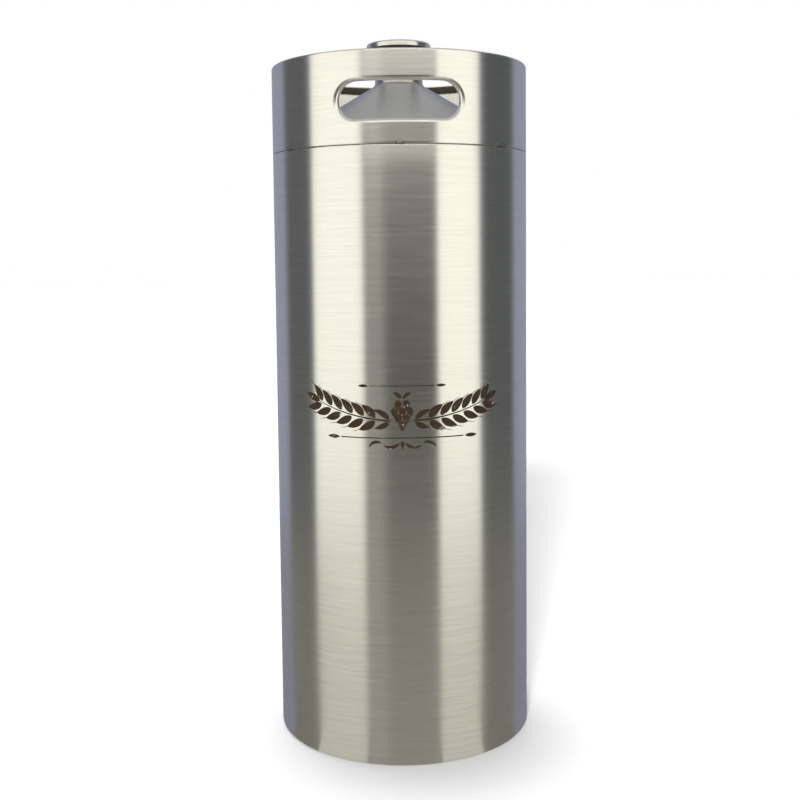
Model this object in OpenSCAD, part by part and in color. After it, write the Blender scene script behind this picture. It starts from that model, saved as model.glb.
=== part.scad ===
// Double-walled 10 litre beer keg with a handle collar and a screw cap.
// Millimetres, +Z up. The origin is the centre of the circle that the keg stands on.
// The front hand hole faces -Y.

/* [Body] */
// Outside radius of the body and of the collar
body_r = 93; // [80:1:110]
// Height of the seam between body and collar
seam_z = 424; // [300:1:600]
// Thickness of the outer sheet
sheet_t = 1; // [0.8:0.1:1.5]
// Bend radius at the foot
foot_r = 2.5; // [2:0.1:4]
// Depth of the recess under the keg
recess_d = 9; // [6:1:12]

/* [Collar] */
// Height of the collar above the seam
collar_h = 62; // [55:1:80]
// Width of the hem folded over at the rim
hem_w = 3; // [2.6:0.1:4]
// Height of the hem's inner leaf
hem_h = 6; // [4:0.5:9]
// Length of a hand hole, measured straight across
hole_w = 86.6; // [60:0.2:96]
// Height of a hand hole
hole_h = 27.6; // [22:0.2:30]
// Height of the hand holes' middle above the seam
hole_up = 28.9; // [26:0.1:32]
// How far a hand hole's edge is turned inwards
lip_d = 4; // [2.5:0.5:6]
// Gap between body and collar
seam_gap = 0.4; // [0.2:0.1:0.8]

/* [Shoulder] */
// Slope of the cone
cone_slope = 31; // [25:1:35]
// Height of the cone's edge above the seam
cone_up = 5.2; // [4:0.2:10]
// Length of the shoulder's skirt below the seam
skirt_h = 10; // [6:1:15]

/* [Neck and cap] */
// Outside radius of the neck
neck_r = 17.5; // [17:0.1:19]
// Radius of the flange at the mouth
mouth_r = 21; // [19:0.5:22]
// Height of the mouth above the collar's rim
mouth_up = 10.5; // [8:0.5:14]
// Outside radius of the cap
cap_r = 23.4; // [22.5:0.1:26]
// Height of the cap's steel cover
cap_h = 5.6; // [4.5:0.1:8]
// Thickness of the cap's seal
seal_t = 2.5; // [1.5:0.1:3]
// Rise of the thread in one turn
pitch = 5; // [4:0.5:6]

/* [Inner vessel] */
// Inside radius of the vessel
vessel_r = 87; // [70:0.5:88]
// Thickness of the inner sheet
liner_t = 0.7; // [0.5:0.1:1]
// Height of the vessel's lowest point
vessel_z = 17; // [15:0.5:24]

/* [Hidden] */
$fn = 96;

// collar and seam
rim_z = seam_z + collar_h;
shell_top = seam_z - seam_gap;
hole_z = seam_z + hole_up;
wall_in = body_r - sheet_t;
// places of the tack welds round the seam, from the front, as a welder sets them by eye
tack_angles = [0, 50, 114, 178, 240, 304];
tack_w = 6.7;
tack_proud = 0.2;
// how far the tack welds sit above the seam's middle
tack_up = 0.8;

// foot
foot_in = body_r - foot_r - 1.5;
pan_bend = 3;
dimple_r = 16;
dimple_h = 3;
port_r = 2;
pellet_fit = 0.02;

// outer cone: its upper side falls from the neck to the skirt
cone_bend = 2;
cone_edge_z = seam_z + cone_up;
cone_neck_z = cone_edge_z + (wall_in - neck_r) * tan(cone_slope);
sheet_drop = sheet_t / cos(cone_slope);

// neck, with the thread inside it
mouth_z = rim_z + mouth_up;
thread_wall = 14.6;
thread_tip = 13.2;
neck_low = cone_neck_z - 14;
spigot_r = 16;
thread_low = mouth_z - 18;
flange_t = 3.5;

// cap
cap_z = mouth_z + seal_t;
core_r = 12.9;
core_tip = 14.3;
plug_low = mouth_z - 21.3;
hollow_r = 10.5;
touch = 0.05;
cover_t = 0.8;
// height of the black core that shows under the cover
core_shows = 1;
nose_t = 1;

// inner vessel
liner_out = vessel_r + liner_t;
liner_bend = 5;
knuckle = 12;
flat_r = 36;
bottom_top = vessel_z + 21;
liner_top = seam_z - 10;
liner_drop = liner_t / cos(cone_slope);
skirt_top = liner_top + 6;

// getter
getter_x = 60;
getter_r = 5;
getter_h = 2;

// points of an arc round c, from angle a0 to angle a1
function arc(c, r, a0, a1, n = 8) =
    [for (i = [0:n]) let (a = a0 + (a1 - a0) * i / n) c + r * [cos(a), sin(a)]];

// height of a cone's upper side at radius r, when it is at z0 at radius r0
function cone_z(r, r0, z0) = z0 + (r0 - r) * tan(cone_slope);

// ring with the section given as [radius, height] points
module turned(points) rotate_extrude() polygon(points);

// weld bead: a low round ridge on a wall of radius r, from z0 to z1
module bead(r, z0, z1, proud) {
    turned([[r, z0], [r + proud * 0.8, z0 + (z1 - z0) * 0.2], [r + proud, (z0 + z1) / 2],
        [r + proud * 0.8, z1 - (z1 - z0) * 0.2], [r, z1]]);
}

// flat-sided piece of a ring, from radius r0 to r1 and from z0 to z1, as wide as a tack weld
module sector(r0, r1, z0, z1) {
    half = tack_w / body_r * 90 / PI;
    translate([0, 0, z0]) linear_extrude(height = z1 - z0)
        polygon(concat(arc([0, 0], r0, -half, half, 4), arc([0, 0], r1, half, -half, 4)));
}

// outline of a hand hole, grown by g
module hole_outline(g = 0) {
    end = (hole_w - hole_h) / 2;
    square([2 * end, hole_h + 2 * g], center = true);
    for (side = [-1, 1]) translate([side * end, 0]) circle(r = hole_h / 2 + g);
}

// bar through both hand holes, with their outline grown by g
module hole_bar(g = 0) {
    translate([0, 0, hole_z]) rotate([90, 0, 0])
        linear_extrude(height = 2 * body_r + 20, center = true) hole_outline(g);
}

// screw thread: a ridge from radius base to radius tip that climbs one pitch a turn
module thread(base, tip, z0, turns, wide = 2, narrow = 1) {
    steps = 30;
    n = ceil(turns * steps);
    inward = tip < base;
    // the ridge grows from nothing and fades away over a sixth of a turn
    function tip_at(i) = base + (tip - base) * min(1, 0.1 + min(i, n - i) / (steps / 6));
    function section(r) = inward
        ? [[base, -wide / 2], [r, -narrow / 2], [r, narrow / 2], [base, wide / 2]]
        : [[base, wide / 2], [r, narrow / 2], [r, -narrow / 2], [base, -wide / 2]];
    points = [for (i = [0:n], p = section(tip_at(i))) let (a = i * 360 / steps)
        [p[0] * cos(a), p[0] * sin(a), z0 + p[1] + pitch * i / steps]];
    sides = [for (i = [0:n - 1], k = [0:3]) let (a = 4 * i + k, b = 4 * i + (k + 1) % 4)
        each [[a, a + 4, b], [b, a + 4, b + 4]]];
    polyhedron(points, concat(sides, [[0, 1, 2, 3], [4 * n + 3, 4 * n + 2, 4 * n + 1, 4 * n]]));
}

// ---- outer wall ----

// drawn tube, its top edge rounded and its foot turned in to a standing ring
module outer_shell() {
    edge = sheet_t * 0.8;
    color("silver") turned(concat(
        [[wall_in, shell_top]],
        arc([body_r - edge, shell_top - edge], edge, 90, 0, 5),
        arc([body_r - foot_r, foot_r], foot_r, 0, -90),
        [[foot_in, 0], [foot_in, sheet_t]],
        arc([body_r - foot_r, foot_r], foot_r - sheet_t, -90, 0)));
}

// ring with a hem at its rim and two hand holes whose edges are turned inwards
module handle_collar() {
    fold = hem_w / 2;
    fold_c = [body_r - fold, rim_z - fold];
    leaf_in = body_r - hem_w;
    color("silver") {
        difference() {
            turned(concat(
                [[wall_in, seam_z], [body_r - 0.3, seam_z], [body_r, seam_z + 0.3]],
                arc(fold_c, fold, 0, 180, 14),
                [[leaf_in, rim_z - hem_h], [leaf_in + sheet_t, rim_z - hem_h]],
                arc(fold_c, fold - sheet_t, 180, 0)));
            hole_bar();
        }
        difference() {
            intersection() {
                turned([[body_r - lip_d, hole_z - hole_h], [body_r, hole_z - hole_h],
                    [body_r, hole_z + hole_h], [body_r - lip_d, hole_z + hole_h]]);
                hole_bar();
            }
            hole_bar(-sheet_t);
        }
    }
}

// short welds across the seam
module tack_welds() {
    color("gray") for (a = tack_angles) rotate(a - 90)
        intersection() {
            translate([body_r - 2, 0, seam_z - seam_gap / 2 + tack_up]) rotate([0, 90, 0])
                cylinder(r = tack_w / 2, h = 4);
            union() {
                sector(body_r, body_r + tack_proud, seam_z - 1.9 + tack_up, seam_z + 1.5 + tack_up);
                sector(wall_in + 0.6, body_r, shell_top, seam_z);
            }
        }
}

// pressed cone; its skirt joins the shell below the seam and centres the collar above it
module outer_shoulder() {
    tilt = 90 - cone_slope;
    bend_c = [wall_in - cone_bend, cone_edge_z - cone_bend / cos(cone_slope)
        + cone_bend * tan(cone_slope)];
    color("darkgray") turned(concat(
        [[wall_in - sheet_t, shell_top - skirt_h], [wall_in, shell_top - skirt_h]],
        arc(bend_c, cone_bend, 0, tilt),
        [[neck_r, cone_neck_z], [neck_r, cone_neck_z - sheet_drop]],
        arc(bend_c, cone_bend - sheet_t, tilt, 0)));
}

// seam weld on the shell's top edge, in the gap under the collar
module shoulder_weld() {
    color("gray") turned([[wall_in, shell_top], [wall_in + 0.5, shell_top],
        [wall_in, shell_top + seam_gap * 0.8]]);
}

// ---- neck ----

// turned mouth with a flange, a thread inside and a step for the inner cone
module neck_ferrule() {
    step_z = cone_neck_z - 4.5;
    color("lightgray") union() {
        turned([[thread_tip, neck_low], [spigot_r, neck_low], [spigot_r, step_z],
            [neck_r, step_z], [neck_r, mouth_z - flange_t - 2], [mouth_r - 0.8, mouth_z - flange_t],
            [mouth_r, mouth_z - flange_t + 0.8], [mouth_r, mouth_z - 0.6], [mouth_r - 0.6, mouth_z],
            [thread_wall + 0.6, mouth_z], [thread_wall, mouth_z - 0.6], [thread_wall, thread_low],
            [thread_tip, thread_low - 1.4]]);
        thread(thread_wall + 0.3, thread_tip, mouth_z - 13.5, 2);
    }
}

module neck_weld() {
    foot = 1.2;
    color("gray") turned([[neck_r, cone_neck_z], [neck_r + foot, cone_z(neck_r + foot, neck_r, cone_neck_z)],
        [neck_r + foot * 0.6, cone_neck_z + foot * 0.1], [neck_r + foot * 0.2, cone_neck_z + foot * 0.4],
        [neck_r, cone_neck_z + foot * 0.7]]);
}

// ---- foot ----

// pressed pan with a dimple round the evacuation hole
module base_pan() {
    top = recess_d + sheet_t;
    pan_c = [foot_in - pan_bend, top - pan_bend];
    color("darkgray") turned(concat(
        [[foot_in - sheet_t, sheet_t], [foot_in, sheet_t]],
        arc(pan_c, pan_bend, 0, 90),
        [[dimple_r + 4, top], [dimple_r + 1, top + dimple_h], [port_r, top + dimple_h],
            [port_r, recess_d + dimple_h], [dimple_r + 0.6, recess_d + dimple_h],
            [dimple_r + 3.6, recess_d]],
        arc(pan_c, pan_bend - sheet_t, 90, 0)));
}

// seam weld on the pan's rim, inside the standing ring
module base_weld() {
    color("gray") turned([[foot_in - sheet_t, sheet_t], [foot_in - sheet_t * 0.8, sheet_t * 0.4],
        [foot_in - sheet_t * 0.3, sheet_t * 0.15], [foot_in, sheet_t * 0.15], [foot_in, sheet_t]]);
}

// brazing metal that closes the evacuation hole
module vacuum_pellet() {
    low = recess_d + dimple_h - 0.8;
    color("goldenrod") turned([[0, low], [port_r + 1, low], [port_r + 1.6, low + 0.4],
        [port_r + 1.6, low + 0.8], [port_r - pellet_fit, low + 0.8],
        [port_r - pellet_fit, low + 2.2], [0, low + 2.4]]);
}

// pressed disc that hides the pellet
module pellet_cover() {
    color("silver") turned([[0, recess_d + 0.2], [dimple_r - 2, recess_d + 0.2],
        [dimple_r - 0.4, recess_d + 0.8], [dimple_r - 0.4, recess_d + 1.6],
        [dimple_r - 1, recess_d + 1.6], [dimple_r - 1, recess_d + 1.2],
        [dimple_r - 2, recess_d + 0.8], [0, recess_d + 0.8]]);
}

// ---- inner vessel ----

module inner_tube() {
    color("lightsteelblue") turned([[vessel_r, bottom_top], [liner_out, bottom_top],
        [liner_out, liner_top], [vessel_r, liner_top]]);
}

module inner_shoulder() {
    tilt = 90 - cone_slope;
    bend_c = [liner_out - liner_bend, skirt_top];
    tangent = bend_c + liner_bend * [cos(tilt), sin(tilt)];
    eye_z = cone_z(spigot_r, tangent[0], tangent[1]);
    color("lightsteelblue") turned(concat(
        [[vessel_r, liner_top], [liner_out, liner_top]],
        arc(bend_c, liner_bend, 0, tilt),
        [[spigot_r, eye_z], [spigot_r, eye_z - liner_drop]],
        arc(bend_c, liner_bend - liner_t, tilt, 0)));
}

module inner_bottom() {
    knuckle_c = [liner_out - knuckle, vessel_z + 17];
    color("lightsteelblue") turned(concat(
        [[0, vessel_z], [flat_r, vessel_z]],
        arc(knuckle_c, knuckle, -80, 0),
        [[liner_out, bottom_top], [vessel_r, bottom_top]],
        arc(knuckle_c, knuckle - liner_t, 0, -80),
        [[flat_r, vessel_z + liner_t], [0, vessel_z + liner_t]]));
}

module inner_shoulder_weld() {
    color("gray") bead(liner_out, liner_top - 0.9, liner_top + 0.9, 0.4);
}

module inner_bottom_weld() {
    color("gray") bead(liner_out, bottom_top - 0.9, bottom_top + 0.9, 0.4);
}

module inner_neck_weld() {
    tilt = 90 - cone_slope;
    eye_z = cone_z(spigot_r, liner_out - liner_bend + liner_bend * cos(tilt),
        skirt_top + liner_bend * sin(tilt));
    color("gray") turned([[spigot_r, eye_z], [spigot_r + 1.2, cone_z(spigot_r + 1.2, spigot_r, eye_z)],
        [spigot_r + 0.8, eye_z + 0.4], [spigot_r, eye_z + 1.2]]);
}

// ring that carries the vessel's weight on the base pan
module spacer_ring() {
    low = recess_d + sheet_t;
    color("khaki") turned([[28, low], [33, low], [33, low + 1.5], [30.5, low + 1.5],
        [30.5, vessel_z - 1.5], [33, vessel_z - 1.5], [33, vessel_z], [28, vessel_z]]);
}

// clip on the base pan, in the evacuated space, open at one side to take its pellet
module getter_clip() {
    low = recess_d + sheet_t;
    color("silver") translate([getter_x, 0, low]) difference() {
        cylinder(r = getter_r + 0.6, h = 3.4);
        translate([0, 0, 0.6]) cylinder(r = getter_r, h = getter_h);
        translate([0, 0, -1]) cylinder(r = getter_r - 1, h = 6);
        translate([-0.5, 0, -1]) cube([1, getter_r * 2, 6]);
    }
}

// pellet that keeps the space empty of gas
module getter_pellet() {
    color("dimgray") translate([getter_x, 0, recess_d + sheet_t + 0.65])
        cylinder(r = getter_r - touch, h = getter_h - 2 * touch);
}

// ---- cap ----

// pressed cover, slightly domed
module cap_shell() {
    crown = 0.5;
    edge = 2;
    top = cap_z + cap_h;
    hem = cap_z + core_shows;
    color("silver") turned(concat(
        [[cap_r - cover_t, hem], [cap_r, hem]],
        arc([cap_r - edge, top - crown - edge], edge, 0, 80, 6),
        [[cap_r * 0.5, top - crown * 0.25], [0, top], [0, top - cover_t],
            [cap_r * 0.5, top - cover_t - crown * 0.25]],
        arc([cap_r - edge, top - crown - edge], edge - cover_t, 80, 0, 6)));
}

// moulded core: a disc inside the cover and a hollow threaded plug
module cap_core() {
    disc_r = cap_r - cover_t - touch;
    disc_top = cap_z + cap_h - cover_t - 1.2;
    color([0.08, 0.08, 0.08]) union() {
        turned([[hollow_r, plug_low + nose_t], [core_r, plug_low + nose_t], [core_r, cap_z],
            [disc_r, cap_z], [disc_r, disc_top - 1], [disc_r - 1, disc_top], [0, disc_top],
            [0, cap_z], [hollow_r, cap_z]]);
        thread(core_r - 0.3, core_tip, mouth_z - 16, 2.25);
    }
}

module cap_foam() {
    color("wheat") translate([0, 0, plug_low + nose_t + 4 + touch])
        cylinder(r = hollow_r - touch, h = cap_z - plug_low - nose_t - 4 - 2 * touch);
}

// steel disc that closes the plug, with a spigot pressed into it
module plug_nose() {
    color("silver") turned([[0, plug_low], [core_r - 0.6, plug_low], [core_r, plug_low + 0.5],
        [core_r, plug_low + nose_t], [hollow_r, plug_low + nose_t], [hollow_r, plug_low + nose_t + 4],
        [hollow_r - 1, plug_low + nose_t + 4], [hollow_r - 1, plug_low + nose_t],
        [0, plug_low + nose_t]]);
}

// washer between the mouth and the cap's disc
module cap_seal() {
    out = cap_r - 1;
    color([0.05, 0.05, 0.05]) turned([[thread_wall + 0.2, mouth_z + touch], [out - 0.3, mouth_z + touch],
        [out, mouth_z + touch + 0.3], [out, cap_z - touch - 0.3], [out - 0.3, cap_z - touch],
        [thread_wall + 0.2, cap_z - touch]]);
}

outer_shell();
handle_collar();
tack_welds();
outer_shoulder();
shoulder_weld();
neck_ferrule();
neck_weld();
base_pan();
base_weld();
vacuum_pellet();
pellet_cover();
inner_tube();
inner_shoulder();
inner_bottom();
inner_shoulder_weld();
inner_bottom_weld();
inner_neck_weld();
spacer_ring();
getter_clip();
getter_pellet();
cap_shell();
cap_core();
cap_foam();
plug_nose();
cap_seal();
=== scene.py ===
"""Studio model of a double-walled steel beer keg with a handle collar and a screw cap."""
import math

import bmesh
import bpy
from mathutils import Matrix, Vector


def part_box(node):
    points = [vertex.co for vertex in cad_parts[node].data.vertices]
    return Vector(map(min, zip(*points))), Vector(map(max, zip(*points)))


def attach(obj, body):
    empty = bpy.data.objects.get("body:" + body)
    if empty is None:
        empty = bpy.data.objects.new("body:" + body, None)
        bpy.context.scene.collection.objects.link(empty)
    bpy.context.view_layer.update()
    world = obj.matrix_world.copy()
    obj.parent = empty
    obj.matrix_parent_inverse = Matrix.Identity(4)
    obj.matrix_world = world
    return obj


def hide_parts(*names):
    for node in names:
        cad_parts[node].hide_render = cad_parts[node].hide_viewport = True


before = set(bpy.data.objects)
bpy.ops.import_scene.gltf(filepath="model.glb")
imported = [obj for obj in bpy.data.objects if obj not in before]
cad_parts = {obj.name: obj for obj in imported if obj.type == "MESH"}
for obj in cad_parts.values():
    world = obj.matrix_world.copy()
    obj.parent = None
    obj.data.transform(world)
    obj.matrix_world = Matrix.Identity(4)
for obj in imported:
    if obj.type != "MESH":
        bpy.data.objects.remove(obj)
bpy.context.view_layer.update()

bl_info = {
    "name": "Steel Beer Keg",
    "version": (1, 0, 0),
    "blender": (4, 5, 0),
    "location": "View3D > Sidebar > Keg",
    "description": "Builds the pieces, finishes and studio of a double-walled steel beer keg",
    "category": "Add Mesh",
}

MM = 0.001

# ---- places taken from the frame ----

SHELL_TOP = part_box("outer_shell")[1]
COLLAR_LOW, COLLAR_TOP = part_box("handle_collar")
CAP_LOW, CAP_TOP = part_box("cap_shell")
SEAL_LOW, SEAL_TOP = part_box("cap_seal")
SHELL_R = SHELL_TOP.x
SEAM_Z = COLLAR_LOW.z
RIM_Z = COLLAR_TOP.z
MARK_R = SHELL_R + 0.03 * MM

# brushing and turning run round the axis, a quarter turn from the surfaces' own direction
ROUND_THE_AXIS = 0.25


# ---- sizes and colours that a user would change ----


class KegSizes(bpy.types.PropertyGroup):
    """Sizes of the pressed and welded parts."""

    sheet: bpy.props.FloatProperty(
        name="Sheet", description="Thickness of the outer sheet", default=1.0 * MM, unit="LENGTH")
    top_edge: bpy.props.FloatProperty(
        name="Top edge", description="Radius of the shell's top edge", default=0.8 * MM, unit="LENGTH")
    foot_bend: bpy.props.FloatProperty(
        name="Foot bend", description="Bend radius at the foot", default=2.5 * MM, unit="LENGTH")
    foot_ring: bpy.props.FloatProperty(
        name="Foot ring", description="Width of the flat standing ring", default=1.5 * MM, unit="LENGTH")
    rim_roll: bpy.props.FloatProperty(
        name="Rim roll", description="Radius of the rolled rim", default=1.5 * MM, unit="LENGTH")
    hem_leaf: bpy.props.FloatProperty(
        name="Hem leaf", description="Height of the leaf folded in at the rim",
        default=6.0 * MM, unit="LENGTH")
    hole_width: bpy.props.FloatProperty(
        name="Hole width", description="Length of a hand hole, straight across",
        default=86.6 * MM, unit="LENGTH")
    hole_height: bpy.props.FloatProperty(
        name="Hole height", description="Height of a hand hole", default=27.6 * MM, unit="LENGTH")
    hole_up: bpy.props.FloatProperty(
        name="Hole height above seam", description="From the seam to a hand hole's middle",
        default=28.9 * MM, unit="LENGTH")
    lip_bend: bpy.props.FloatProperty(
        name="Lip bend", description="Bend radius of a hand hole's edge", default=3.0 * MM, unit="LENGTH")
    lip_inset: bpy.props.FloatProperty(
        name="Lip inset", description="How far the lip stands inside the hole's outline",
        default=1.4 * MM, unit="LENGTH")
    lip_depth: bpy.props.FloatProperty(
        name="Lip depth", description="How far a hand hole's edge is turned in",
        default=4.0 * MM, unit="LENGTH")
    tack_width: bpy.props.FloatProperty(
        name="Tack width", description="Length of a tack weld along the seam",
        default=6.7 * MM, unit="LENGTH")
    tack_height: bpy.props.FloatProperty(
        name="Tack height", description="Height of a tack weld across the seam",
        default=3.2 * MM, unit="LENGTH")
    tack_up: bpy.props.FloatProperty(
        name="Tack offset", description="From the seam up to a tack weld's middle", default=0.8 * MM,
        unit="LENGTH")
    mark_height: bpy.props.FloatProperty(
        name="Mark height", description="Height of the etched ornament's middle",
        default=246 * MM, unit="LENGTH")


class KegColours(bpy.types.PropertyGroup):
    """Colours of the finishes."""

    wall: bpy.props.FloatVectorProperty(
        name="Wall", description="Steel of the body and collar", subtype="COLOR", size=3,
        default=(0.90, 0.89, 0.86))
    cone: bpy.props.FloatVectorProperty(
        name="Pressed parts", description="Steel of the shoulder and base", subtype="COLOR", size=3,
        default=(0.72, 0.72, 0.72))
    turned: bpy.props.FloatVectorProperty(
        name="Turned parts", description="Steel of the neck and the small discs", subtype="COLOR", size=3,
        default=(0.84, 0.84, 0.82))
    weld: bpy.props.FloatVectorProperty(
        name="Weld", description="Steel of the weld beads", subtype="COLOR", size=3,
        default=(0.52, 0.50, 0.47))
    # painted shade: this dark colour inside the rim's hem stands in for the shadow and dark reflections there
    stain: bpy.props.FloatVectorProperty(
        name="Hem", description="Painted shade inside the rim's hem", subtype="COLOR", size=3,
        default=(0.050, 0.044, 0.028))
    mark: bpy.props.FloatVectorProperty(
        name="Mark", description="Dark brown of the etched ornament", subtype="COLOR", size=3,
        default=(0.011, 0.0052, 0.0012))
    plastic: bpy.props.FloatVectorProperty(
        name="Plastic", description="Moulded core of the cap", subtype="COLOR", size=3,
        default=(0.006, 0.006, 0.0063))
    rubber: bpy.props.FloatVectorProperty(
        name="Rubber", description="Seal of the cap", subtype="COLOR", size=3,
        default=(0.004, 0.004, 0.0043))


class KegStudio(bpy.types.PropertyGroup):
    """Camera, floor and light."""

    distance: bpy.props.FloatProperty(
        name="Distance", description="From the camera to the keg's axis", default=0.8419, unit="LENGTH")
    eye: bpy.props.FloatProperty(
        name="Eye height", description="Height of the camera", default=0.3522, unit="LENGTH")
    aside: bpy.props.FloatProperty(
        name="Aside", description="How far right of the keg's axis the camera stands",
        default=-1.0 * MM, unit="LENGTH")
    lens: bpy.props.FloatProperty(
        name="Lens", description="Focal length in millimetres", default=50.71)
    pitch: bpy.props.FloatProperty(
        name="Pitch", description="How far the camera looks down", default=0.0777, subtype="ANGLE")
    lean: bpy.props.FloatProperty(
        name="Lean", description="How far the keg leans in the picture", default=0.01005, subtype="ANGLE")
    shift: bpy.props.FloatProperty(
        name="Shift", description="Vertical shift of the lens", default=-0.075)
    floor_radius: bpy.props.FloatProperty(
        name="Floor radius", description="Radius of the pale floor", default=12.0, unit="LENGTH")
    tent_radius: bpy.props.FloatProperty(
        name="Tent radius", description="Radius of the light tent", default=0.75, unit="LENGTH")
    tent_height: bpy.props.FloatProperty(
        name="Tent height", description="Height of the light tent's wall", default=1.5, unit="LENGTH")


# ---- mesh helpers ----


def arc(centre, radius, start, end, steps=8):
    """Points of an arc in a section, with angles in degrees."""
    turns = [math.radians(start + (end - start) * i / steps) for i in range(steps + 1)]
    return [(centre[0] + radius * math.cos(a), centre[1] + radius * math.sin(a)) for a in turns]


def add_piece(name, points, faces, material, smooth=True):
    """A new object with this mesh and material."""
    mesh = bpy.data.meshes.new(name)
    mesh.from_pydata(points, [], faces)
    mesh.validate()
    mesh.materials.append(material)
    mesh.polygons.foreach_set("use_smooth", [smooth] * len(mesh.polygons))
    piece = bpy.data.objects.new(name, mesh)
    bpy.context.scene.collection.objects.link(piece)
    return piece


def lathe(name, section, material, sides=256):
    """A ring, or a lid where its section meets the axis, from a closed section of (radius, height) points."""
    count = len(section)
    points = []
    for i in range(sides):
        turn = math.tau * i / sides
        for radius, height in section:
            points.append((radius * math.cos(turn), radius * math.sin(turn), height))
    faces = []
    for i in range(sides):
        here, there = i * count, (i + 1) % sides * count
        for k in range(count):
            after = (k + 1) % count
            faces.append((here + k, here + after, there + after, there + k))
    return add_piece(name, points, faces, material)


def outward(piece):
    """Joins a closed piece's points where they meet, on its axis, and turns its faces outwards."""
    mesh = bmesh.new()
    mesh.from_mesh(piece.data)
    bmesh.ops.remove_doubles(mesh, verts=mesh.verts, dist=0.0001 * MM)
    bmesh.ops.recalc_face_normals(mesh, faces=mesh.faces)
    mesh.to_mesh(piece.data)
    mesh.free()


def apply_modifiers(piece):
    """Makes the modifiers' result the piece's own mesh."""
    bpy.context.view_layer.update()
    graph = bpy.context.evaluated_depsgraph_get()
    made = bpy.data.meshes.new_from_object(piece.evaluated_get(graph))
    piece.modifiers.clear()
    piece.data = made


def keep_edges(piece, degrees=32):
    """Smooth shading that keeps the edges sharper than this angle."""
    piece.data.set_sharp_from_angle(angle=math.radians(degrees))


def true_cylinder(piece, radii):
    """Gives the corners that lie on an upright wall of one of these radii the wall's exact normal."""
    mesh = piece.data
    normals = [corner.vector.copy() for corner in mesh.corner_normals]
    for loop, normal in zip(mesh.loops, normals):
        spot = mesh.vertices[loop.vertex_index].co
        radial = Vector((spot.x, spot.y, 0.0))
        if min(abs(radial.length - radius) for radius in radii) < 0.02 * MM:
            radial.normalize()
            if abs(normal.dot(radial)) > 0.995:
                normal.xyz = radial * math.copysign(1.0, normal.dot(radial))
    mesh.normals_split_custom_set(normals)


def settle(piece, body, slot, *nodes):
    """Says which body a piece moves with and hides the frame nodes that it stands for; its slot is not used.
    """
    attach(piece, body)
    if nodes:
        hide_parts(*nodes)
    return piece


# ---- shader helpers ----


class Value:
    """A shader socket. Arithmetic on it adds Math nodes."""

    def __init__(self, shader, socket):
        self.shader = shader
        self.socket = socket

    def maths(self, operation, first, second):
        return self.shader.maths(operation, first, second)

    def __add__(self, other):
        return self.maths("ADD", self, other)

    def __radd__(self, other):
        return self.maths("ADD", other, self)

    def __sub__(self, other):
        return self.maths("SUBTRACT", self, other)

    def __rsub__(self, other):
        return self.maths("SUBTRACT", other, self)

    def __mul__(self, other):
        return self.maths("MULTIPLY", self, other)

    def __rmul__(self, other):
        return self.maths("MULTIPLY", other, self)

    def __truediv__(self, other):
        return self.maths("DIVIDE", self, other)

    def __rtruediv__(self, other):
        return self.maths("DIVIDE", other, self)


class Shader:
    """A material that is built from expressions."""

    def __init__(self, name):
        self.material = bpy.data.materials.new(name)
        self.material.use_nodes = True
        self.tree = self.material.node_tree
        self.tree.nodes.clear()

    def node(self, kind, settings=None, inputs=None, out=0):
        """Adds a node: its settings are set first, then its sockets' values and links."""
        made = self.tree.nodes.new("ShaderNode" + kind)
        for name, value in (settings or {}).items():
            if name == "stops":
                ramp = made.color_ramp
                while len(ramp.elements) < len(value):
                    ramp.elements.new(0.5)
                for element, (place, colour) in zip(ramp.elements, value):
                    element.position = place
                    element.color = (*colour, 1.0)
            else:
                setattr(made, name, value)
        for key, value in (inputs or {}).items():
            if isinstance(value, Value):
                self.tree.links.new(value.socket, made.inputs[key])
            else:
                made.inputs[key].default_value = value
        return Value(self, made.outputs[out]) if made.outputs else None

    def maths(self, operation, *values):
        return self.node("Math", {"operation": operation}, dict(enumerate(values)))

    def axes(self, place):
        """X, Y and Z of a place, as numbers."""
        x = self.node("SeparateXYZ", {}, {0: place})
        return [Value(self, socket) for socket in x.socket.node.outputs]

    def place(self):
        """Where a point is on its piece, in metres."""
        return self.node("TexCoord", out="Object")

    def stretched(self, place, scale):
        return self.node("VectorMath", {"operation": "MULTIPLY"}, {0: place, 1: scale})

    def noise(self, place, scale, detail=2.0, rough=0.5):
        """Noise from 0 to 1 with this many features a metre along X, Y and Z."""
        inputs = {"Vector": self.stretched(place, scale), "Scale": 1.0, "Detail": detail,
                  "Roughness": rough}
        return self.node("TexNoise", {}, inputs)

    def mix(self, factor, first, second, blend="MIX"):
        """Mixes two colours."""
        colours = [c if isinstance(c, Value) else (*c, 1.0) for c in (first, second)]
        return self.node("Mix", {"data_type": "RGBA", "blend_type": blend},
                         {0: factor, 6: colours[0], 7: colours[1]}, out=2)

    def band(self, value, low, high):
        """Goes smoothly from 0 at low to 1 at high."""
        return self.node("MapRange", {"interpolation_type": "SMOOTHSTEP"},
                         {"Value": value, "From Min": low, "From Max": high})

    def bump(self, height, depth, strength=1.0, normal=None):
        inputs = {"Height": height, "Distance": depth, "Strength": strength}
        if normal is not None:
            inputs["Normal"] = normal
        return self.node("Bump", {}, inputs)

    def surface(self, **sockets):
        """Ends the material in a Principled surface with these sockets."""
        shader = self.node("BsdfPrincipled", {}, {k.replace("_", " ").title(): v for k, v in sockets.items()})
        self.node("OutputMaterial", {}, {"Surface": shader})
        return self.material


def shade(colour, factor):
    """A colour made lighter or darker, for a socket."""
    return tuple(min(1.0, c * factor) for c in colour)


# ---- finishes ----


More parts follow.
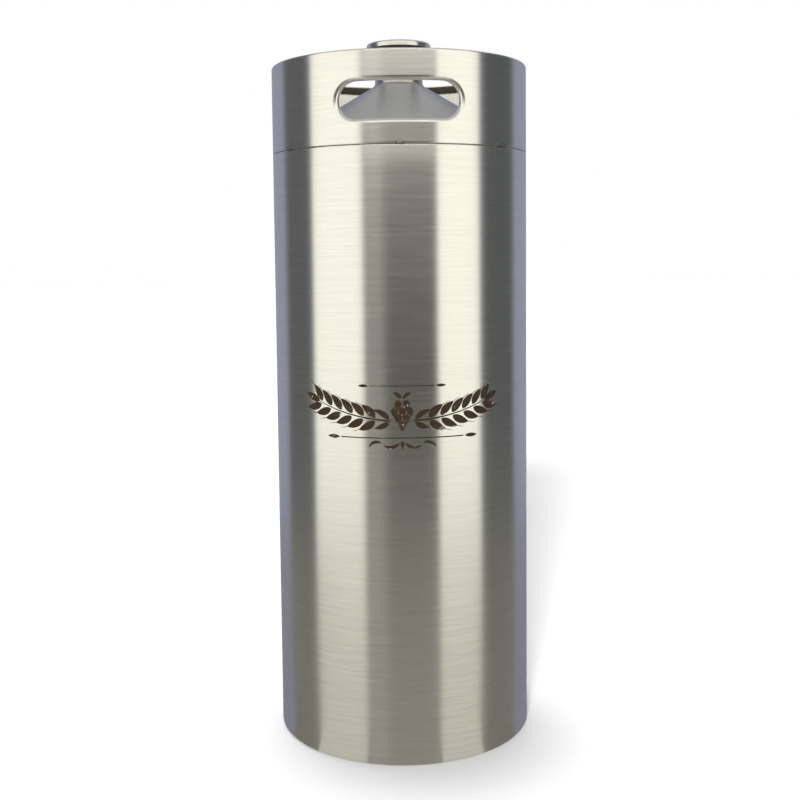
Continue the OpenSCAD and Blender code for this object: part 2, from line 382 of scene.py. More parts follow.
def brushed_steel(name, tint, roughness, grain=1.0):
    """Steel brushed round the keg's axis: fine level lines, longer streaks and faint cloudy patches."""
    s = Shader(name)
    place = s.place()
    lines = s.noise(place, (26, 26, 2300), 2.0)
    streaks = s.noise(place, (30, 30, 520), 3.0, 0.6)
    scratches = s.noise(place, (38, 38, 4100), 1.0)
    clouds = s.noise(place, (16, 16, 10), 3.0)
    tone = s.band(lines, 0.3, 0.7) * 0.35 + s.band(streaks, 0.30, 0.70) * 0.4 + clouds * 0.25
    deep = s.band(scratches, 0.66, 0.86) * 0.2 * grain
    colour = s.mix(tone, shade(tint, 0.92), shade(tint, 1.04))
    colour = s.mix(deep, colour, shade(tint, 0.70))
    rough = roughness - 0.05 + streaks * 0.06 + clouds * 0.05 + deep * 0.06
    normal = s.bump(lines * 0.6 + streaks * 0.4, 0.002 * MM * grain)
    return s.surface(base_color=colour, metallic=1.0, roughness=rough, normal=normal,
                     anisotropic=0.9, anisotropic_rotation=ROUND_THE_AXIS)


def stained_steel(name, tint):
    """Sheet inside a hem: dull, and painted dark brown as shade, standing in for the shadow and dark
    reflections under the rolled rim.
    """
    s = Shader(name)
    place = s.place()
    lines = s.noise(place, (30, 30, 1800), 2.0)
    stain = s.noise(place, (60, 60, 240), 3.0, 0.6)
    colour = s.mix(stain, shade(tint, 0.7), shade(tint, 1.5))
    return s.surface(base_color=colour, metallic=0.85, roughness=0.36 + stain * 0.16,
                     normal=s.bump(lines, 0.004 * MM))


def pressed_steel(name, tint):
    """Satin sheet as pressed and pickled, with faint draw marks."""
    s = Shader(name)
    place = s.place()
    grain = s.noise(place, (2600, 2600, 2600), 2.0)
    rings = s.noise(place, (10, 10, 1500), 2.0)
    clouds = s.noise(place, (28, 28, 28), 4.0, 0.6)
    tone = grain * 0.2 + rings * 0.4 + clouds * 0.4
    colour = s.mix(tone, shade(tint, 0.82), shade(tint, 1.12))
    rough = 0.30 + clouds * 0.08 + grain * 0.05
    return s.surface(base_color=colour, metallic=1.0, roughness=rough,
                     normal=s.bump(grain * 0.5 + rings * 0.5, 0.005 * MM),
                     anisotropic=0.75, anisotropic_rotation=ROUND_THE_AXIS)


def turned_steel(name, tint):
    """Lathe-turned steel with fine feed marks round the axis."""
    s = Shader(name)
    place = s.place()
    marks = s.noise(place, (14, 14, 3600), 1.0)
    across = s.noise(place, (900, 900, 20), 1.0)
    clouds = s.noise(place, (60, 60, 60), 3.0)
    colour = s.mix(marks * 0.5 + clouds * 0.5, shade(tint, 0.88), shade(tint, 1.1))
    rough = 0.20 + marks * 0.08 + clouds * 0.05
    return s.surface(base_color=colour, metallic=1.0, roughness=rough,
                     normal=s.bump(marks * 0.7 + across * 0.3, 0.006 * MM),
                     anisotropic=0.6, anisotropic_rotation=ROUND_THE_AXIS)


def weld_steel(name, tint, wall=0.0):
    """Weld metal with ripples and faint heat tints, darker in a thin rim where it meets a wall of this
    radius.
    """
    s = Shader(name)
    place = s.place()
    ripple = s.noise(place, (420, 420, 300), 3.0, 0.6)
    heat = s.noise(place, (170, 170, 260), 2.0)
    colour = s.node("ValToRGB", {"stops": [
        (0.30, shade(tint, 1.25)), (0.46, (0.62, 0.50, 0.30)), (0.56, (0.42, 0.33, 0.34)),
        (0.68, (0.26, 0.32, 0.42))]}, {0: heat})
    colour = s.mix(0.78, colour, tint)
    if wall:
        # a thin dark rim at the bead's foot, where it meets the wall
        x, y, z = s.axes(place)
        reach = s.maths("SQRT", x * x + y * y)
        clear = s.band(reach, wall + 0.04 * MM, wall + 0.15 * MM)
        colour = s.mix(clear, (0.07, 0.062, 0.055), colour)
    rough = 0.26 + ripple * 0.22
    return s.surface(base_color=colour, metallic=1.0, roughness=rough,
                     normal=s.bump(ripple, 0.06 * MM, 0.7))


def etched_brown(name, tint, steel):
    """Dark etching, worn through to bare steel in small flecks."""
    s = Shader(name)
    place = s.place()
    flecks = s.noise(place, (620, 620, 700), 3.0, 0.7)
    clouds = s.noise(place, (70, 70, 190), 3.0)
    worn = s.band(flecks * 0.6 + clouds * 0.4, 0.60, 0.65) * 0.7
    colour = s.mix(clouds, shade(tint, 0.6), shade(tint, 1.8))
    colour = s.mix(worn, colour, shade(steel, 0.8))
    return s.surface(base_color=colour, metallic=worn, roughness=0.66 - worn * 0.3,
                     normal=s.bump(flecks, 0.02 * MM, 0.5))


def black_plastic(name, tint):
    """Moulded plastic with a fine spark-eroded grain."""
    s = Shader(name)
    place = s.place()
    grain = s.noise(place, (2200, 2200, 2200), 3.0)
    scuffs = s.noise(place, (130, 130, 900), 2.0)
    colour = s.mix(scuffs, tint, shade(tint, 2.2))
    return s.surface(base_color=colour, roughness=0.42 + grain * 0.16,
                     normal=s.bump(grain, 0.02 * MM, 0.6))


def black_rubber(name, tint):
    """Silicone rubber: smooth, with a faint bloom of dust."""
    s = Shader(name)
    place = s.place()
    dust = s.noise(place, (900, 900, 900), 4.0, 0.7)
    clouds = s.noise(place, (90, 90, 90), 2.0)
    colour = s.mix(dust * clouds, tint, shade(tint, 5.0))
    return s.surface(base_color=colour, roughness=0.50 + clouds * 0.16,
                     normal=s.bump(dust, 0.01 * MM, 0.5))


def liner_steel(name):
    """Electropolished steel, bright, with a faint orange peel."""
    s = Shader(name)
    place = s.place()
    peel = s.noise(place, (620, 620, 620), 2.0)
    clouds = s.noise(place, (30, 30, 30), 3.0)
    colour = s.mix(clouds, (0.78, 0.78, 0.77), (0.90, 0.90, 0.89))
    return s.surface(base_color=colour, metallic=1.0, roughness=0.08 + clouds * 0.10,
                     normal=s.bump(peel, 0.01 * MM, 0.5))


def brazing_metal(name):
    """Brazing alloy as it froze: wrinkled, brassy, duller at its edge."""
    s = Shader(name)
    place = s.place()
    skin = s.noise(place, (900, 900, 900), 4.0, 0.6)
    oxide = s.noise(place, (260, 260, 260), 2.0)
    colour = s.mix(oxide, (0.70, 0.54, 0.26), (0.40, 0.31, 0.20))
    return s.surface(base_color=colour, metallic=1.0, roughness=0.28 + oxide * 0.2,
                     normal=s.bump(skin, 0.05 * MM, 0.6))


def glass_fibre(name):
    """Moulded glass fibre: a woven look under yellowish resin."""
    s = Shader(name)
    place = s.place()
    warp = s.noise(place, (1600, 60, 60), 1.0)
    weft = s.noise(place, (60, 1600, 60), 1.0)
    weave = warp * 0.5 + weft * 0.5
    colour = s.mix(weave, (0.56, 0.50, 0.32), (0.82, 0.78, 0.60))
    return s.surface(base_color=colour, roughness=0.45 + weave * 0.2,
                     normal=s.bump(weave, 0.05 * MM, 0.6))


def sintered_getter(name):
    """Pressed and sintered grains."""
    s = Shader(name)
    place = s.place()
    cells = s.node("TexVoronoi", {}, {"Vector": s.stretched(place, (2600, 2600, 2600)), "Scale": 1.0})
    grain = s.noise(place, (1800, 1800, 1800), 3.0)
    colour = s.mix(grain, (0.16, 0.16, 0.17), (0.38, 0.38, 0.40))
    return s.surface(base_color=colour, metallic=0.6, roughness=0.55 + grain * 0.2,
                     normal=s.bump(cells, 0.05 * MM, 0.8))


def foam(name):
    """Rigid foam with fine closed cells."""
    s = Shader(name)
    place = s.place()
    cells = s.node("TexVoronoi", {}, {"Vector": s.stretched(place, (1500, 1500, 1500)), "Scale": 1.0})
    clouds = s.noise(place, (200, 200, 200), 2.0)
    colour = s.mix(cells * 0.7 + clouds * 0.3, (0.86, 0.80, 0.60), (0.66, 0.58, 0.38))
    return s.surface(base_color=colour, roughness=0.9, normal=s.bump(cells, 0.2 * MM, 0.8))


def sizes():
    return bpy.context.scene.keg_sizes


def colours():
    return bpy.context.scene.keg_colours


def studio():
    return bpy.context.scene.keg_studio


def finish_node(node, material):
    """Gives a frame node its material."""
    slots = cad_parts[node].data.materials
    slots.clear()
    slots.append(material)


# ---- pieces ----


class BuildShell(bpy.types.Operator):
    """Body: a drawn tube, rounded at its top edge and turned in at its foot"""

    bl_idname = "keg.build_shell"
    bl_label = "Body Shell"

    def execute(self, context):
        s = sizes()
        inside = SHELL_R - s.sheet
        foot_in = SHELL_R - s.foot_bend - s.foot_ring
        top_c = (SHELL_R - s.top_edge, SHELL_TOP.z - s.top_edge)
        foot_c = (SHELL_R - s.foot_bend, s.foot_bend)
        levels = 24
        low, high = s.foot_bend, SHELL_TOP.z - s.top_edge
        wall = [low + (high - low) * i / levels for i in range(1, levels)]
        section = [(inside, SHELL_TOP.z)]
        section += arc(top_c, s.top_edge, 90, 0, 6)
        section += [(SHELL_R, z) for z in reversed(wall)]
        section += arc(foot_c, s.foot_bend, 0, -90, 10)
        section += [(foot_in, 0.0), (foot_in, s.sheet)]
        section += arc(foot_c, s.foot_bend - s.sheet, -90, 0, 6)
        section += [(inside, z) for z in wall]
        steel = brushed_steel("brushed wall", colours().wall, 0.25)
        shell = lathe("body_shell", section, steel, 320)
        outward(shell)
        keep_edges(shell)
        settle(shell, "keg", "brushed_wall", "outer_shell")
        return {"FINISHED"}


def collar_skin():
    """Points and faces of the collar's outer skin, with a dished hand hole at the front and the back."""
    s = sizes()
    end_x = (s.hole_width - s.hole_height) / 2
    end_r = s.hole_height / 2
    hole_z = SEAM_Z + s.hole_up
    patch_low, patch_high = SEAM_Z + 4 * MM, RIM_Z - 3 * MM
    patch_x = 62 * MM
    across, up = 84, 30
    reach = math.asin(patch_x / SHELL_R)
    side = 44
    lows = [0.0, 0.3 * MM, 1.2 * MM, 2.5 * MM]
    points, faces, found = [], [], {}

    def point(turn, depth, z):
        """Adds a point at this angle from the front, this far inside the wall, once only."""
        radius = SHELL_R - depth
        spot = (radius * math.sin(turn), -radius * math.cos(turn), z)
        key = tuple(round(c * 1e7) for c in spot)
        if key not in found:
            found[key] = len(points)
            points.append(spot)
        return found[key]

    def rings(rows):
        """Joins rows of points, each one a loop or a strip, by quads."""
        for lower, upper in zip(rows, rows[1:]):
            for k in range(len(lower) - 1):
                faces.append((lower[k], lower[k + 1], upper[k + 1], upper[k]))

    patch_xs = [patch_x * (2 * i / across - 1) for i in range(across + 1)]
    patch_turns = [math.asin(x / SHELL_R) for x in patch_xs]
    gap = math.pi - 2 * reach
    side_turns = [reach + gap * i / side for i in range(side + 1)]
    around = (patch_turns[:-1] + side_turns[:-1] + [t + math.pi for t in patch_turns[:-1]]
              + [t + math.pi for t in side_turns])
    patch_zs = [patch_low + (patch_high - patch_low) * i / up for i in range(up + 1)]

    # plain strips below and above the patches
    below = [[point(t, max(0.0, 0.3 * MM - d) * 0.6, SEAM_Z + d) for t in around] for d in lows]
    below.append([point(t, 0.0, patch_low) for t in around])
    rings(below)
    roll_c = (s.rim_roll, RIM_Z - s.rim_roll)
    roll = arc(roll_c, s.rim_roll, 180, 0, 14)
    above = [[point(t, 0.0, patch_high) for t in around]]
    above += [[point(t, depth, z) for t in around] for depth, z in roll]
    leaf = [RIM_Z - s.rim_roll - s.hem_leaf * f for f in (0.25, 0.5, 0.75)]
    above += [[point(t, 2 * s.rim_roll, z) for t in around] for z in leaf]
    rings(above)

    # plain walls between the patches
    for half in (0.0, math.pi):
        rings([[point(t + half, 0.0, z) for t in side_turns] for z in patch_zs])

    # patches with a hole: straight rays from the hole's outline to the patch's edge
    edge = [(x, patch_low) for x in patch_xs[:-1]]
    edge += [(patch_x, z) for z in patch_zs[:-1]]
    edge += [(x, patch_high) for x in reversed(patch_xs[1:])]
    edge += [(-patch_x, z) for z in reversed(patch_zs[1:])]
    edge.append(edge[0])
    bend_out = s.lip_bend - s.lip_inset
    turns = [math.radians(90 * i / 8) for i in range(9)]
    lip = [(bend_out - s.lip_bend * math.sin(a), s.lip_bend * (1 - math.cos(a))) for a in turns]
    straight = s.lip_depth - s.lip_bend
    lip += [(-s.lip_inset, s.lip_bend + straight * f) for f in (0.5, 1.0)]
    shares = [0.12, 0.27, 0.45, 0.7, 1.0]
    for half in (0.0, math.pi):
        rays = []
        for x, z in edge:
            centre = Vector((max(-end_x, min(end_x, x)), hole_z))
            away = Vector((x, z)) - centre
            span = away.length - end_r
            ray = away.normalized()
            spots = [(centre + ray * (end_r + out), depth) for out, depth in reversed(lip)]
            room = span - bend_out
            spots += [(centre + ray * (end_r + bend_out + room * f), 0.0) for f in shares]
            rays.append([point(math.asin(p.x / SHELL_R) + half, d, p.y) for p, d in spots])
        rings([list(row) for row in zip(*rays)])
    return points, faces


class BuildCollar(bpy.types.Operator):
    """Handle collar: one sheet with a rolled rim and two dished hand holes"""

    bl_idname = "keg.build_collar"
    bl_label = "Handle Collar"

    def execute(self, context):
        points, faces = collar_skin()
        steel = brushed_steel("brushed collar", colours().wall, 0.24)
        collar = add_piece("collar_sheet", points, faces, steel)
        # painted shade: the hem's inner leaf gets the dark hem material, standing in for the shadow under the
        # rolled rim
        collar.data.materials.append(stained_steel("hem painted shade", colours().stain))
        leaf_r = SHELL_R - 2 * sizes().rim_roll
        for face in collar.data.polygons:
            if face.center.z > RIM_Z - 10 * MM and face.center.xy.length < leaf_r + 0.1 * MM:
                face.material_index = 1
        outward(collar)
        middle = max(collar.data.polygons, key=lambda f: f.center.x * (f.center.z < SEAM_Z + 9 * MM))
        if middle.normal.x < 0:
            collar.data.flip_normals()
        wall = collar.modifiers.new("wall", "SOLIDIFY")
        wall.thickness = sizes().sheet
        wall.offset = -1.0
        wall.use_even_offset = True
        edge = collar.modifiers.new("edge", "BEVEL")
        edge.width = 0.2 * MM
        edge.segments = 2
        edge.limit_method = "ANGLE"
        edge.angle_limit = math.radians(50)
        apply_modifiers(collar)
        keep_edges(collar, 40)
        true_cylinder(collar, (SHELL_R, SHELL_R - sizes().sheet))
        settle(collar, "keg", "brushed_wall", "handle_collar")
        return {"FINISHED"}


class BuildTacks(bpy.types.Operator):
    """Tack welds: short rippled puddles across the seam"""

    bl_idname = "keg.build_tacks"
    bl_label = "Tack Welds"

    def execute(self, context):
        s = sizes()
        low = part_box("tack_welds")[0]
        seam = (SHELL_TOP.z + SEAM_Z) / 2 + s.tack_up
        proud = -low.y - SHELL_R
        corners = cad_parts["tack_welds"].data.vertices
        proudest = [v.co for v in corners if v.co.xy.length > SHELL_R + proud / 2]
        start = math.radians(-20)
        angles = sorted((math.atan2(c.x, -c.y) - start) % math.tau + start for c in proudest)
        groups = [[angles[0]]]
        for angle in angles[1:]:
            if angle - groups[-1][-1] > math.radians(8):
                groups.append([])
            groups[-1].append(angle)
        points, faces = [], []
        rings, sides = 9, 28
        for group in groups:
            mid = (group[0] + group[-1]) / 2
            start = len(points)
            for i in range(rings + 1):
                share = i / rings
                for k in range(sides):
                    turn = math.tau * k / sides
                    along = share * s.tack_width / 2 * math.cos(turn)
                    rise = share * s.tack_height / 2 * math.sin(turn)
                    ripple = 0.12 * math.cos(share * 15.0 + 1.5 * math.cos(turn))
                    height = proud * max(0.0, (1 - share ** 3) * (0.85 + ripple))
                    depth = 0.5 * MM if i == rings else -height
                    radius = SHELL_R - depth
                    angle = mid + along / SHELL_R
                    points.append((radius * math.sin(angle), -radius * math.cos(angle), seam + rise))
            for i in range(rings):
                for k in range(sides):
                    after = (k + 1) % sides
                    a, b = start + i * sides, start + (i + 1) * sides
                    faces.append((a + k, a + after, b + after, b + k))
            back = [start + rings * sides + k for k in range(sides)]
            faces.append(tuple(back))
        tacks = add_piece("tack_beads", points, faces, weld_steel("weld bead", colours().weld, SHELL_R))
        merge = tacks.modifiers.new("merge", "WELD")
        merge.merge_threshold = 0.001 * MM
        apply_modifiers(tacks)
        outward(tacks)
        settle(tacks, "keg", "weld_bead", "tack_welds")
        return {"FINISHED"}


def ribbon(points, faces, path, widths):
    """Adds a flat ribbon to a mesh, along a path of (across, up) points and as wide as given at each one."""
    columns = 4
    start = len(points)
    for i, (u, v) in enumerate(path):
        before, after = path[max(0, i - 1)], path[min(len(path) - 1, i + 1)]
        along = Vector((after[0] - before[0], after[1] - before[1])).normalized()
        for k in range(columns + 1):
            out = widths[i] * (k / columns - 0.5)
            turn = (u - along.y * out) / SHELL_R
            rise = v + along.x * out
            points.append((MARK_R * math.sin(turn), -MARK_R * math.cos(turn), rise))
    for i in range(len(path) - 1):
        for k in range(columns):
            a = start + i * (columns + 1) + k
            faces.append((a, a + columns + 1, a + columns + 2, a + 1))


def leaf_widths(width, steps, full=0.42):
    """Widths of a leaf that is pointed at both ends and fullest at this share of its length."""
    shares = [i / steps for i in range(steps + 1)]
    power = math.log(0.5) / math.log(full)
    return [max(0.03 * MM, width * math.sin(math.pi * t ** power) ** 0.8) for t in shares]


def sprig_leaf(origin, degrees, length, bend=0.0, steps=12):
    """Path of a leaf that starts here, points this way and bends by so many degrees."""
    path, spot = [origin], origin
    for i in range(steps):
        turn = math.radians(degrees + bend * (i + 0.5) / steps)
        spot = (spot[0] + length / steps * math.cos(turn), spot[1] + length / steps * math.sin(turn))
        path.append(spot)
    return path


def barley_ear():
    """Paths and widths of the ear to the right: a stem, pairs of bearded grains and two leaves."""
    found = []
    grain, rise, sweep, steps = 13.2 * MM, 3, 19, 26
    stem = sprig_leaf((8 * MM, -6.5 * MM), rise, 54 * MM, sweep, steps)
    found.append((stem, [(1.3 - 0.8 * i / steps) * MM for i in range(steps + 1)]))
    for k in range(5, steps, 4):
        lean = rise + sweep * k / steps
        for side in (-1, 1):
            turn = math.radians(lean + 90 * side)
            root = (stem[k][0] + 1.0 * MM * math.cos(turn), stem[k][1] + 1.0 * MM * math.sin(turn))
            path = sprig_leaf(root, lean + 48 * side, grain, -26 * side)
            found.append((path, leaf_widths(5.3 * MM, 12)))
            awn = sprig_leaf(path[-1], lean + 24 * side, 5 * MM, -6 * side, 5)
            found.append((awn, [0.5 * MM - 0.07 * MM * i for i in range(6)]))
    found.append((sprig_leaf(stem[-1], rise + sweep, grain), leaf_widths(4.8 * MM, 12)))
    for lift, turn, length in ((1.0, 50, 13 * MM), (-1.0, -38, 11 * MM)):
        found.append((sprig_leaf((8.8 * MM, (-6.5 + lift) * MM), turn, length, -turn * 0.8),
                      leaf_widths(3.8 * MM, 12, 0.4)))
    return found


def hop_cone():
    """Paths and widths of a hop cone's scales, in rows that fill each other's gaps, and its top leaves."""
    found = []
    for row, middles in enumerate(((2.7,), (0.0, 5.2), (2.7,), (0.0,))):
        for across in middles:
            top = (7.6 - 4.7 * row) * MM
            found.append((sprig_leaf((across * MM, top), -90, 7.2 * MM), leaf_widths(4.7 * MM, 12, 0.4)))
    found.append((sprig_leaf((0.7 * MM, 8.4 * MM), 62, 7 * MM, -50), leaf_widths(2.8 * MM, 12)))
    return found


def rules_and_scroll():
    """Paths and widths of the two rules with pointed ends, and of the leafy scroll under them."""
    found = []
    for height, end, width in ((-18.2, 43, 0.8), (17.0, 22, 0.6)):
        rule = [(end * MM * i / 30, height * MM) for i in range(31)]
        found.append((rule, [width * MM] * 31))
        found.append((sprig_leaf(((end + 1) * MM, height * MM), 0, 12 * width * MM),
                      leaf_widths(3.4 * width * MM, 12, 0.5)))
    found.append((sprig_leaf((0.0, -20.2 * MM), -90, 5.5 * MM), leaf_widths(2.6 * MM, 12)))
    curls = ((1.8, -21.4, -52, 12.5, 88, 2.3), (14.2, -21.6, 28, 10.5, -96, 2.1))
    for u, v, turn, length, bend, width in curls:
        found.append((sprig_leaf((u * MM, v * MM), turn, length * MM, bend, 16), leaf_widths(width * MM, 16)))
    return found


class BuildMark(bpy.types.Operator):
    """Etched ornament: two barley ears, a hop cone, rules and a scroll on the front of the body"""

    bl_idname = "keg.build_mark"
    bl_label = "Etched Ornament"

    def execute(self, context):
        points, faces = [], []
        middle = sizes().mark_height
        for path, widths in barley_ear() + hop_cone() + rules_and_scroll():
            central = max(abs(u) for u, v in path) < 0.01 * MM
            for side in (1,) if central else (1, -1):
                ribbon(points, faces, [(side * u, middle + v) for u, v in path], widths)
        brown = etched_brown("etched brown", colours().mark, colours().wall)
        mark = add_piece("etched_ornament", points, faces, brown)
        depth = mark.modifiers.new("depth", "SOLIDIFY")
        depth.thickness = 2 * (MARK_R - SHELL_R)
        depth.offset = -1.0
        apply_modifiers(mark)
        keep_edges(mark, 40)
        settle(mark, "keg", "brushed_wall")
        return {"FINISHED"}


class BuildShoulder(bpy.types.Operator):
    """Shoulder: a pressed cone with a skirt, and the welds at its two edges"""

    bl_idname = "keg.build_shoulder"
    bl_label = "Shoulder and Welds"

    def execute(self, context):
        finish_node("outer_shoulder", pressed_steel("pressed cone", colours().cone))
        weld = weld_steel("seam weld", colours().weld)
        for node in ("shoulder_weld", "neck_weld", "base_weld", "inner_shoulder_weld",
                     "inner_bottom_weld", "inner_neck_weld"):
            finish_node(node, weld)
        return {"FINISHED"}


class BuildNeck(bpy.types.Operator):
    """Neck: the turned mouth with its thread"""

    bl_idname = "keg.build_neck"
    bl_label = "Neck"

    def execute(self, context):
        finish_node("neck_ferrule", turned_steel("turned neck", colours().turned))
        return {"FINISHED"}


class BuildBase(bpy.types.Operator):
    """Base: the pressed pan, the evacuation port's pellet and its cover"""

    bl_idname = "keg.build_base"
    bl_label = "Base"

    def execute(self, context):
        finish_node("base_pan", pressed_steel("pressed base", colours().cone))
        finish_node("vacuum_pellet", brazing_metal("braze"))
        finish_node("pellet_cover", turned_steel("turned cover", colours().turned))
        return {"FINISHED"}


class BuildVessel(bpy.types.Operator):
    """Inner vessel, the ring that carries it and the getter that keeps the vacuum"""

    bl_idname = "keg.build_vessel"
    bl_label = "Inner Vessel"

    def execute(self, context):
        liner = liner_steel("polished liner")
        for node in ("inner_tube", "inner_shoulder", "inner_bottom"):
            finish_node(node, liner)
        finish_node("spacer_ring", glass_fibre("glass fibre"))
        finish_node("getter_clip", pressed_steel("spring clip", colours().cone))
        finish_node("getter_pellet", sintered_getter("sintered getter"))
        return {"FINISHED"}


class BuildCap(bpy.types.Operator):
    """Cap: a pressed cover over a moulded core, the closed plug and the seal"""

    bl_idname = "keg.build_cap"
    bl_label = "Cap"

    def execute(self, context):
        radius, top = CAP_TOP.x, CAP_TOP.z
        crown, edge, sheet = 0.5 * MM, 1.9 * MM, 0.8 * MM
        corner = (radius - edge, top - crown - edge)
        crown_r = (radius * radius + crown * crown) / (2 * crown)
        steps = 10
        flat = [(radius - edge) * (1 - i / steps) for i in range(1, steps + 1)]
        section = [(radius - sheet, CAP_LOW.z), (radius - 0.15 * MM, CAP_LOW.z),
                   (radius, CAP_LOW.z + 0.15 * MM)]
        section += arc(corner, edge, 0, 84, 10)
        section += [(x, top - x * x / (2 * crown_r)) for x in flat]
        section += [(x, top - sheet - x * x / (2 * crown_r)) for x in reversed(flat)]
        section += arc(corner, edge - sheet, 84, 0, 8)
        steel = brushed_steel("cap steel", colours().wall, 0.27, 0.8)
        cover = lathe("cap_cover", section, steel, 160)
        outward(cover)
        keep_edges(cover)
        settle(cover, "cap", "cap_steel", "cap_shell")

        low, high = SEAL_LOW.z, SEAL_TOP.z
        outer, bulge = SEAL_TOP.x, 0.5 * MM
        inner = 14.8 * MM
        section = [(inner, high)]
        section += arc((outer - bulge, high - bulge), bulge, 90, 0, 6)
        section += arc((outer - bulge, low + bulge), bulge, 0, -90, 6)
        section += [(inner, low)]
        seal = lathe("seal_washer", section, black_rubber("black rubber", colours().rubber), 128)
        outward(seal)
        keep_edges(seal)
        settle(seal, "seal", "black_seal", "cap_seal")

        finish_node("cap_core", black_plastic("black plastic", colours().plastic))
        finish_node("cap_foam", foam("foam"))
        finish_node("plug_nose", turned_steel("plug steel", colours().turned))
        return {"FINISHED"}


# ---- the stage ----

# light cards round the keg: from and to, in degrees from the front towards the right, how soft
# their edges are, and their colour
CARDS = [
    (-125, -86, 6, (0.105, 0.110, 0.110)),
    (-84.5, -33, 1.8, (1.10, 1.09, 0.96)),
    (-31.5, 31.5, 2.5, (0.050, 0.050, 0.045)),
    (-32, -15, 7, (0.24, 0.24, 0.22)),
    (33, 75, 1.8, (1.12, 1.11, 0.97)),
    (77, 122, 6, (0.094, 0.099, 0.099)),
]
BACK_COLOUR = (0.285, 0.300, 0.372)
WINDOW_COLOUR = (1.55, 1.54, 1.40)
FLOOR_COLOUR = (0.23, 0.22, 0.185)
BACK_FLOOR_COLOUR = (0.195, 0.195, 0.235)
FRONT_FLOOR_COLOUR = (0.44, 0.43, 0.38)
ROOF_COLOUR = (0.5, 0.5, 0.49)

# the stretch in front of the keg, as in the cards: from, to and how soft
AHEAD = (-33, 33, 3)


# soft lights for the shadows: where they stand, how wide they are in degrees and how strong
SUNS = [
    ("key", (-0.07, 0.19, 2.0), 10, 3.5),
    ("fill", (-0.35, -2.0, 1.0), 8, 7.4),
]


def within(s, turn, start, end, soft):
    """Is 1 between two angles and 0 outside them, with edges this soft."""
    return s.band(turn, start - soft, start + soft) * (1.0 - s.band(turn, end - soft, end + soft))


def card_light(s, x, y):
    """Angle and card colour at a place. The cards' edges bend on the floor, to stand upright on the keg."""
    turn = s.maths("ARCTAN2", x, y * -1.0)
    near = SHELL_R / s.maths("SQRT", x * x + y * y)
    bend = s.maths("ARCSINE", near * s.maths("SINE", turn * (near + 1.0) * 0.5))
    turn = (turn + bend) * (180 / math.pi)
    light = BACK_COLOUR
    for start, end, soft, colour in CARDS:
        light = s.mix(within(s, turn, start, end, soft), light, colour)
    return turn, light


def glowing(s, light):
    """Ends a shader in light of this colour."""
    colour = light if isinstance(light, Value) else (*light, 1.0)
    glow = s.node("Emission", {}, {"Color": colour, "Strength": 1.0})
    s.node("OutputMaterial", {}, {"Surface": glow})
    return s.material


def wall_light(name):
    """The tent's wall: the cards, a window of light above the camera and the roof's colour at the top."""
    s = Shader(name)
    x, y, z = s.axes(s.place())
    turn, light = card_light(s, x, y)
    ahead = within(s, turn, *AHEAD)
    light = s.mix(s.band(z, 0.56, 0.70) * ahead, light, WINDOW_COLOUR)
    return glowing(s, s.mix(s.band(z, 0.9, 1.3), light, ROOF_COLOUR))


def floor_light(name):
    """The tent's floor: a dimmer echo of the cards, warm at the sides, cool behind and bright in front."""
    s = Shader(name)
    x, y, z = s.axes(s.place())
    turn, light = card_light(s, x, y)
    floor = s.mix(within(s, turn, -128, 128, 10), BACK_FLOOR_COLOUR, FLOOR_COLOUR)
    light = s.mix(0.70, light, floor)
    ahead = within(s, turn, *AHEAD)
    return glowing(s, s.mix(ahead * 0.36, light, FRONT_FLOOR_COLOUR))


def circle(radius, height, sides):
    """Points of a level circle round the keg's axis."""
    turns = [math.tau * k / sides for k in range(sides)]
    return [(radius * math.cos(a), radius * math.sin(a), height) for a in turns]


def disc(name, radius, height, material, sides=96):
    """A flat round card."""
    return add_piece(name, circle(radius, height, sides), [tuple(range(sides))], material, smooth=False)


def tent_wall(radius, height, sides=180):
    """The tent's upright wall."""
    points = circle(radius, 0.0, sides) + circle(radius, height, sides)
    quads = [(k, (k + 1) % sides, sides + (k + 1) % sides, sides + k) for k in range(sides)]
    return add_piece("tent", points, quads, wall_light("tent light"))


def only_reflected(piece):
    """Leaves a piece to be seen by reflections alone."""
    piece.visible_camera = False
    piece.visible_diffuse = False
    piece.visible_shadow = False
    piece.visible_transmission = False


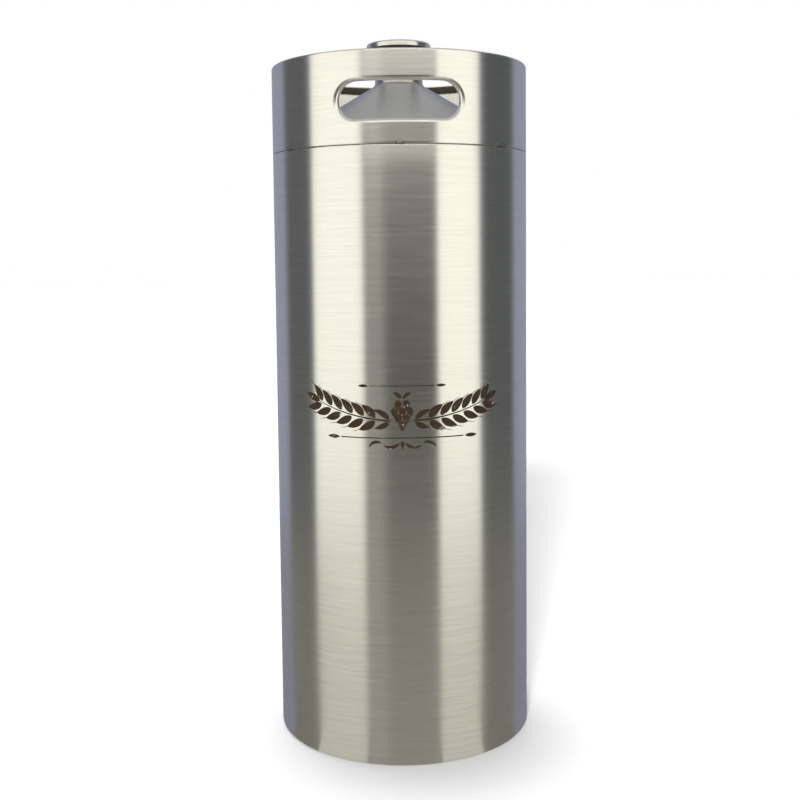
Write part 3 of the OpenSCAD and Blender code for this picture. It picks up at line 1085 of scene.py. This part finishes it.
class BuildStage(bpy.types.Operator):
    """Stage: a pale floor, a light tent that only the reflections see, two soft suns and the camera"""

    bl_idname = "keg.build_stage"
    bl_label = "Stage"

    def execute(self, context):
        scene = context.scene
        s = studio()
        paper = Shader("pale paper")
        fibre = paper.noise(paper.place(), (300, 300, 300), 3.0)
        tone = paper.mix(fibre, (0.350, 0.350, 0.353), (0.370, 0.370, 0.373))
        floor = disc("floor", s.floor_radius, -0.05 * MM, paper.surface(base_color=tone, roughness=0.9))
        floor.visible_glossy = False

        tent = tent_wall(s.tent_radius, s.tent_height)
        card = disc("floor_card", s.tent_radius, -0.2 * MM, floor_light("floor glow"))
        roof_glow = glowing(Shader("roof glow"), ROOF_COLOUR)
        roof = disc("roof_card", s.tent_radius, s.tent_height, roof_glow)
        for piece in (tent, card, roof):
            only_reflected(piece)

        for name, away, softness, energy in SUNS:
            sun = bpy.data.lights.new(name, "SUN")
            sun.angle = math.radians(softness)
            sun.energy = energy
            lamp = bpy.data.objects.new(name, sun)
            lamp.location = away
            lamp.rotation_euler = (-lamp.location).to_track_quat("-Z", "Y").to_euler()
            lamp.visible_glossy = False
            scene.collection.objects.link(lamp)

        world = bpy.data.worlds.new("white room")
        world.use_nodes = True
        world.node_tree.nodes["Background"].inputs["Color"].default_value = (1.0, 1.0, 1.0, 1.0)
        world.node_tree.nodes["Background"].inputs["Strength"].default_value = 1.0
        scene.world = world
        scene.view_settings.view_transform = "Standard"

        lens = bpy.data.cameras.new("camera")
        lens.lens = s.lens
        lens.sensor_width = 36.0
        lens.shift_y = s.shift
        lens.clip_start = 0.01
        camera = bpy.data.objects.new("camera", lens)
        camera.location = (s.aside, -s.distance, s.eye)
        camera.rotation_euler = (math.pi / 2 - s.pitch, 0.0, 0.0)
        camera.rotation_euler.rotate_axis("Z", -s.lean)
        scene.collection.objects.link(camera)
        scene.camera = camera
        return {"FINISHED"}


class KegPanel(bpy.types.Panel):
    """Lists the keg's pieces and sizes"""

    bl_idname = "KEG_PT_pieces"
    bl_label = "Beer Keg"
    bl_space_type = "VIEW_3D"
    bl_region_type = "UI"
    bl_category = "Keg"

    def draw(self, context):
        for group in (sizes(), colours(), studio()):
            box = self.layout.box()
            for name in group.__annotations__:
                box.prop(group, name)
        for step in STEPS:
            self.layout.operator(step.bl_idname)


STEPS = (BuildStage, BuildShell, BuildCollar, BuildTacks, BuildMark, BuildShoulder, BuildNeck, BuildBase,
         BuildVessel, BuildCap)
GROUPS = {"keg_sizes": KegSizes, "keg_colours": KegColours, "keg_studio": KegStudio}


def register():
    for kind in (*GROUPS.values(), *STEPS, KegPanel):
        bpy.utils.register_class(kind)
    for name, kind in GROUPS.items():
        setattr(bpy.types.Scene, name, bpy.props.PointerProperty(type=kind))


def unregister():
    for name in GROUPS:
        delattr(bpy.types.Scene, name)
    for kind in (KegPanel, *reversed(STEPS), *GROUPS.values()):
        bpy.utils.unregister_class(kind)


def main():
    register()
    for step in STEPS:
        group, name = step.bl_idname.split(".")
        getattr(getattr(bpy.ops, group), name)()


if __name__ == "__main__":
    main()
